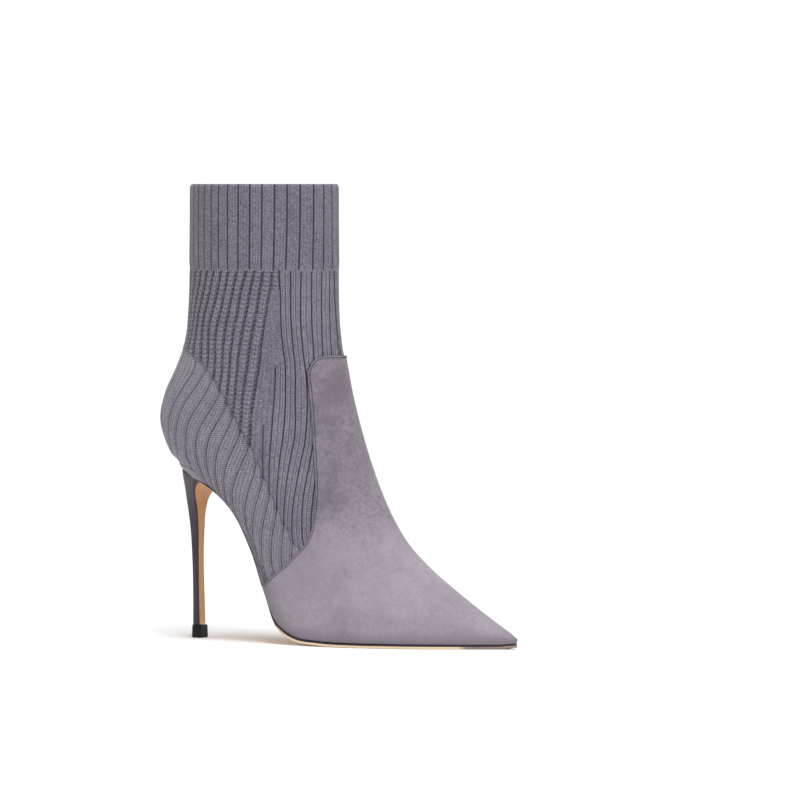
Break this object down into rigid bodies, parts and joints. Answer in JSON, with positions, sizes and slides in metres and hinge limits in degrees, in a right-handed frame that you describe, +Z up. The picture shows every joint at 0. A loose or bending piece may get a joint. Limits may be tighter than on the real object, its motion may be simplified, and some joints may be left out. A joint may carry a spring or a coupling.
{
  "type": "stiletto sock boot",
  "caption": "Pointed sock boot with a ribbed knit upper, wide rib cuff, suede vamp and a covered stiletto heel.",
  "frame": {"origin": "centre of the heel tip's ground face", "axes": "+Z up, +X from the heel to the toe, +Y to the inner side of the foot"},
  "size_m": [0.2388, 0.0741, 0.272],
  "materials": {
    "knit": "ribbed grey mauve knit, matt",
    "vamp_suede": "short nap suede, grey mauve",
    "band_suede": "smooth suede strip, grey mauve",
    "sole_leather": "tan leather with a dark painted edge",
    "insole_lining": "soft lining leather, matt",
    "heel_suede": "suede cover, darker in shade",
    "tip_rubber": "black wear tip, satin"
  },
  "bodies": {
    "root": {"upper": "knit", "vamp": "vamp_suede", "seat_band": "band_suede", "outsole": "sole_leather", "insole": "insole_lining", "heel": "heel_suede", "heel_breast": "sole_leather", "heel_tip": "tip_rubber"}
  },
  "joints": []
}
